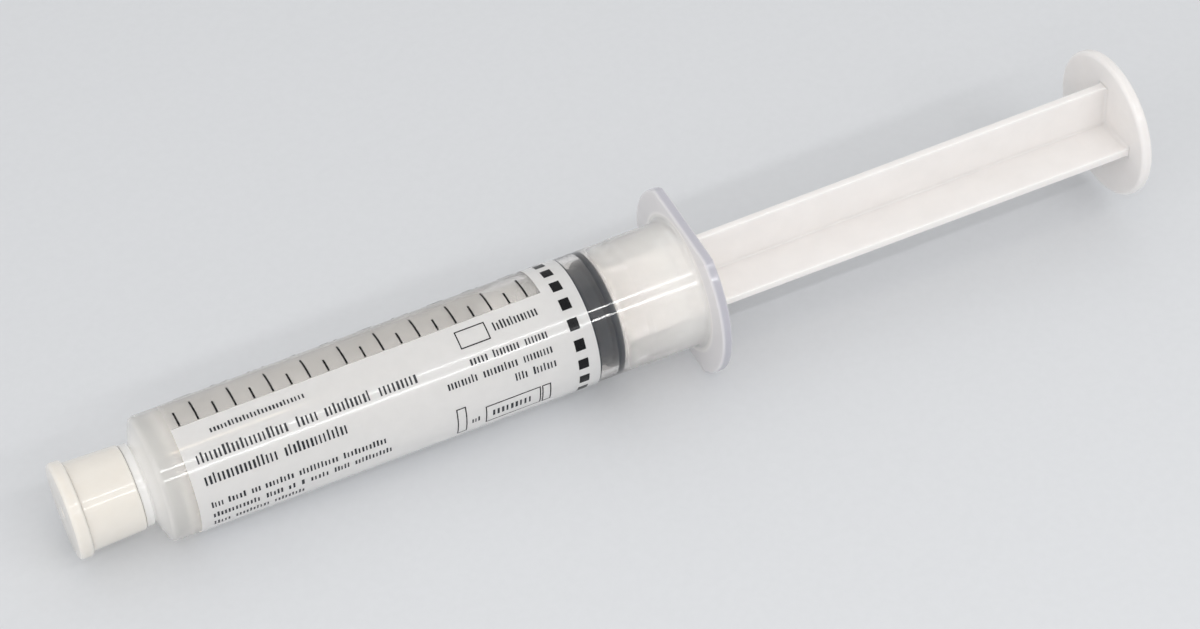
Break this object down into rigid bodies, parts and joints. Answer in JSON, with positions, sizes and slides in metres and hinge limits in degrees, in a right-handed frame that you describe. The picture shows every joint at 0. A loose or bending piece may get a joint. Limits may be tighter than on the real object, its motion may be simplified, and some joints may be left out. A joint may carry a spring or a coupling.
{
  "type": "prefilled flush syringe",
  "caption": "Clear prefilled saline flush syringe with a luer-lock tip cap, wrapped label, rubber stopper, round flange and ribbed plunger rod.",
  "frame": {"origin": "centre of the luer tip's end, on the syringe's axis", "axes": "+X along the syringe's axis from the tip to the thumb disc, +Z square to the finger flange's two flats (up as it lies), +Y along the flange's long way"},
  "size_m": [0.158, 0.0266, 0.022],
  "materials": {
    "barrel_plastic": "clear natural polypropylene, injection moulded",
    "cap_plastic": "milky polypropylene, satin",
    "rod_plastic": "milky polypropylene, satin",
    "stopper_rubber": "dark grey butyl rubber, siliconed",
    "label_film": "white and clear printed film",
    "saline": "clear liquid"
  },
  "bodies": {
    "barrel_body": {"barrel": "barrel_plastic", "label": "label_film", "saline_fill": "saline"},
    "cap_body": {"tip_cap": "cap_plastic"},
    "stopper_body": {"stopper": "stopper_rubber"},
    "rod_body": {"plunger_rod": "rod_plastic"}
  },
  "joints": [
    {"name": "cap_pull", "type": "slide", "parent": "barrel_body", "child": "cap_body", "axis": [-1, 0, 0], "range_m": [0, 0.025]},
    {"name": "plunger_slide", "type": "slide", "parent": "barrel_body", "child": "stopper_body", "axis": [-1, 0, 0], "range_m": [-0.0095, 0.0575], "deforming": ["saline_fill"]},
    {"name": "rod_spin", "type": "hinge", "parent": "stopper_body", "child": "rod_body", "pos_m": [0.0725, 0, 0], "axis": [1, 0, 0], "continuous": true}
  ]
}
